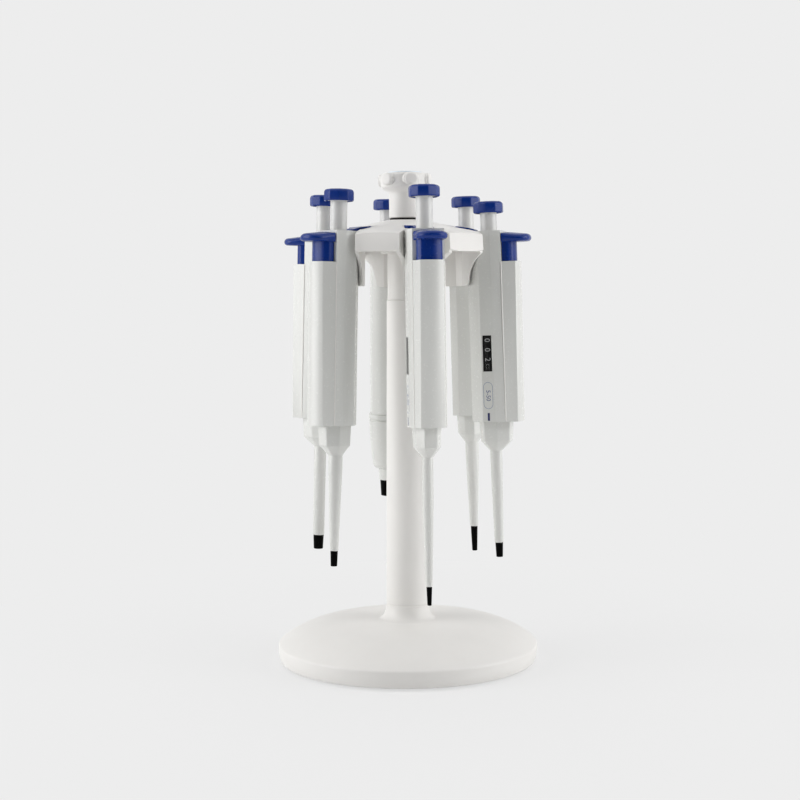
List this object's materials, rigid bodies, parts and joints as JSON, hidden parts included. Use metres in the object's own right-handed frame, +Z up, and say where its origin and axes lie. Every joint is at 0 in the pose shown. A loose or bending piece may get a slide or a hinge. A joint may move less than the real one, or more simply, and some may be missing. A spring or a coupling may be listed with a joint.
{
  "type": "pipette carousel stand",
  "caption": "Round weighted stand with a turning head on a column; leaning pipettes hang by their finger hooks in its cradles, and a star knob tops it.",
  "frame": {"origin": "middle of the footprint, on the surface that the feet stand on", "axes": "+Z up the column; -Y towards the first pipette"},
  "size_m": [0.156, 0.156, 0.293],
  "materials": {
    "stand_white": "satin moulded plastic, warm white",
    "pipette_white": "satin moulded plastic, cool white",
    "pipette_blue": "satin moulded plastic, deep blue",
    "tip_black": "fine satin black",
    "display_black": "clear gloss over black",
    "knob_inlay": "gloss inlay, pale blue",
    "plate_steel": "painted sheet steel, light grey",
    "weight_iron": "as cast, black paint",
    "foot_rubber": "matt rubber",
    "fastener_steel": "zinc plated",
    "washer_black": "black acetal"
  },
  "bodies": {
    "base": {"base_cover": "stand_white", "base_plate": "plate_steel", "base_weight": "weight_iron", "rubber_feet": "foot_rubber", "base_screws": "fastener_steel", "column_tube": "stand_white", "neck_spindle": "stand_white", "tie_rod": "fastener_steel", "bearing_washers": "washer_black", "star_knob": "stand_white", "knob_disc": "knob_inlay"},
    "carousel": {"carousel_head": "stand_white"},
    "pipette_1": {"handle_1": "pipette_white", "display_1": "display_black", "finger_hook_1": "pipette_blue", "tip_cone_1": "tip_black"},
    "plunger_1": {"plunger_rod_1": "pipette_white"},
    "button_1": {"push_button_1": "pipette_blue"},
    "ejector_1": {"ejector_button_1": "pipette_blue", "ejector_sleeve_1": "pipette_white"},
    "pipette_2": {"handle_2": "pipette_white", "display_2": "display_black", "finger_hook_2": "pipette_blue", "tip_cone_2": "tip_black"},
    "plunger_2": {"plunger_rod_2": "pipette_white"},
    "button_2": {"push_button_2": "pipette_blue"},
    "ejector_2": {"ejector_button_2": "pipette_blue", "ejector_sleeve_2": "pipette_white"},
    "pipette_3": {"handle_3": "pipette_white", "display_3": "display_black", "finger_hook_3": "pipette_blue", "tip_cone_3": "tip_black"},
    "plunger_3": {"plunger_rod_3": "pipette_white"},
    "button_3": {"push_button_3": "pipette_blue"},
    "ejector_3": {"ejector_button_3": "pipette_blue", "ejector_sleeve_3": "pipette_white"},
    "pipette_4": {"handle_4": "pipette_white", "display_4": "display_black", "finger_hook_4": "pipette_blue", "tip_cone_4": "tip_black"},
    "plunger_4": {"plunger_rod_4": "pipette_white"},
    "button_4": {"push_button_4": "pipette_blue"},
    "ejector_4": {"ejector_button_4": "pipette_blue", "ejector_sleeve_4": "pipette_white"},
    "pipette_5": {"handle_5": "pipette_white", "display_5": "display_black", "finger_hook_5": "pipette_blue", "tip_cone_5": "tip_black"},
    "plunger_5": {"plunger_rod_5": "pipette_white"},
    "button_5": {"push_button_5": "pipette_blue"},
    "ejector_5": {"ejector_button_5": "pipette_blue", "ejector_sleeve_5": "pipette_white"},
    "pipette_6": {"handle_6": "pipette_white", "display_6": "display_black", "finger_hook_6": "pipette_blue", "tip_cone_6": "tip_black"},
    "plunger_6": {"plunger_rod_6": "pipette_white"},
    "button_6": {"push_button_6": "pipette_blue"},
    "ejector_6": {"ejector_button_6": "pipette_blue", "ejector_sleeve_6": "pipette_white"}
  },
  "joints": [
    {"name": "carousel_spin", "type": "hinge", "parent": "base", "child": "carousel", "pos_m": [0, 0, 0.2446], "axis": [0, 0, 1], "continuous": true},
    {"name": "pipette_lift_1", "type": "slide", "parent": "carousel", "child": "pipette_1", "axis": [0, -0.6, 0.8], "range_m": [0, 0.1]},
    {"name": "plunger_press_1", "type": "slide", "parent": "pipette_1", "child": "plunger_1", "axis": [0, -0.0311, -0.9995], "range_m": [0, 0.0135], "stiffness_N_per_m": 500, "springref_m": -0.003},
    {"name": "volume_turn_1", "type": "hinge", "parent": "plunger_1", "child": "button_1", "pos_m": [0, -0.05079, 0.27774], "axis": [0, 0.0311, 0.9995], "range_deg": [-1800, 1800]},
    {"name": "ejector_press_1", "type": "slide", "parent": "pipette_1", "child": "ejector_1", "axis": [0, -0.0311, -0.9995], "range_m": [0, 0.008], "stiffness_N_per_m": 600, "springref_m": -0.003},
    {"name": "pipette_lift_2", "type": "slide", "parent": "carousel", "child": "pipette_2", "axis": [0.5196, -0.3, 0.8], "range_m": [0, 0.1]},
    {"name": "plunger_press_2", "type": "slide", "parent": "pipette_2", "child": "plunger_2", "axis": [0.0269, -0.0155, -0.9995], "range_m": [0, 0.0085], "stiffness_N_per_m": 500, "springref_m": -0.003},
    {"name": "volume_turn_2", "type": "hinge", "parent": "plunger_2", "child": "button_2", "pos_m": [0.04419, -0.02551, 0.27024], "axis": [-0.0269, 0.0155, 0.9995], "range_deg": [-1800, 1800]},
    {"name": "ejector_press_2", "type": "slide", "parent": "pipette_2", "child": "ejector_2", "axis": [0.0269, -0.0155, -0.9995], "range_m": [0, 0.008], "stiffness_N_per_m": 600, "springref_m": -0.003},
    {"name": "pipette_lift_3", "type": "slide", "parent": "carousel", "child": "pipette_3", "axis": [0.5196, 0.3, 0.8], "range_m": [0, 0.1]},
    {"name": "plunger_press_3", "type": "slide", "parent": "pipette_3", "child": "plunger_3", "axis": [0.0269, 0.0155, -0.9995], "range_m": [0, 0.0135], "stiffness_N_per_m": 500, "springref_m": -0.003},
    {"name": "volume_turn_3", "type": "hinge", "parent": "plunger_3", "child": "button_3", "pos_m": [0.04401, 0.02541, 0.27674], "axis": [-0.0269, -0.0155, 0.9995], "range_deg": [-1800, 1800]},
    {"name": "ejector_press_3", "type": "slide", "parent": "pipette_3", "child": "ejector_3", "axis": [0.0269, 0.0155, -0.9995], "range_m": [0, 0.008], "stiffness_N_per_m": 600, "springref_m": -0.003},
    {"name": "pipette_lift_4", "type": "slide", "parent": "carousel", "child": "pipette_4", "axis": [0, 0.6, 0.8], "range_m": [0, 0.1]},
    {"name": "plunger_press_4", "type": "slide", "parent": "pipette_4", "child": "plunger_4", "axis": [0, 0.0311, -0.9995], "range_m": [0, 0.0135], "stiffness_N_per_m": 500, "springref_m": -0.003},
    {"name": "volume_turn_4", "type": "hinge", "parent": "plunger_4", "child": "button_4", "pos_m": [0, 0.05084, 0.27634], "axis": [0, -0.0311, 0.9995], "range_deg": [-1800, 1800]},
    {"name": "ejector_press_4", "type": "slide", "parent": "pipette_4", "child": "ejector_4", "axis": [0, 0.0311, -0.9995], "range_m": [0, 0.008], "stiffness_N_per_m": 600, "springref_m": -0.003},
    {"name": "pipette_lift_5", "type": "slide", "parent": "carousel", "child": "pipette_5", "axis": [-0.5196, 0.3, 0.8], "range_m": [0, 0.1]},
    {"name": "plunger_press_5", "type": "slide", "parent": "pipette_5", "child": "plunger_5", "axis": [-0.0269, 0.0155, -0.9995], "range_m": [0, 0.0135], "stiffness_N_per_m": 500, "springref_m": -0.003},
    {"name": "volume_turn_5", "type": "hinge", "parent": "plunger_5", "child": "button_5", "pos_m": [-0.04401, 0.02541, 0.27674], "axis": [0.0269, -0.0155, 0.9995], "range_deg": [-1800, 1800]},
    {"name": "ejector_press_5", "type": "slide", "parent": "pipette_5", "child": "ejector_5", "axis": [-0.0269, 0.0155, -0.9995], "range_m": [0, 0.008], "stiffness_N_per_m": 600, "springref_m": -0.003},
    {"name": "pipette_lift_6", "type": "slide", "parent": "carousel", "child": "pipette_6", "axis": [-0.5196, -0.3, 0.8], "range_m": [0, 0.1]},
    {"name": "plunger_press_6", "type": "slide", "parent": "pipette_6", "child": "plunger_6", "axis": [-0.0269, -0.0155, -0.9995], "range_m": [0, 0.0135], "stiffness_N_per_m": 500, "springref_m": -0.003},
    {"name": "volume_turn_6", "type": "hinge", "parent": "plunger_6", "child": "button_6", "pos_m": [-0.04401, -0.02541, 0.27674], "axis": [0.0269, 0.0155, 0.9995], "range_deg": [-1800, 1800]},
    {"name": "ejector_press_6", "type": "slide", "parent": "pipette_6", "child": "ejector_6", "axis": [-0.0269, -0.0155, -0.9995], "range_m": [0, 0.008], "stiffness_N_per_m": 600, "springref_m": -0.003}
  ]
}
